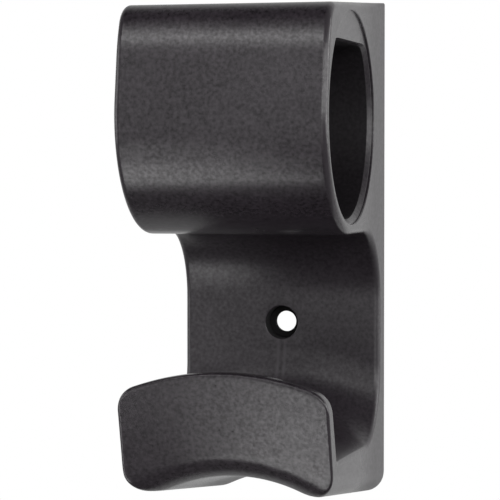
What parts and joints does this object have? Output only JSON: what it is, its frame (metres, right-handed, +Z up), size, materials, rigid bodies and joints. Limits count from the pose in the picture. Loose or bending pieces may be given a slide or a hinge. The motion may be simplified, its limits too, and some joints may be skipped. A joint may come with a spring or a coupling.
{
  "type": "charging plug holder",
  "caption": "Wall holder for a car charging plug: moulded block with a D-shaped socket open at the right, a screwed neck, and an arched saddle with an upturned lip for the cable.",
  "frame": {"origin": "axis of the fixing screw hole at the wall plane", "axes": "+X along the plug socket, out of its mouth; +Y into the wall; +Z up"},
  "size_m": [0.06, 0.079, 0.1467],
  "materials": {
    "plastic": "fine eroded grain, charcoal"
  },
  "bodies": {
    "root": {"holder": "plastic"}
  },
  "joints": []
}
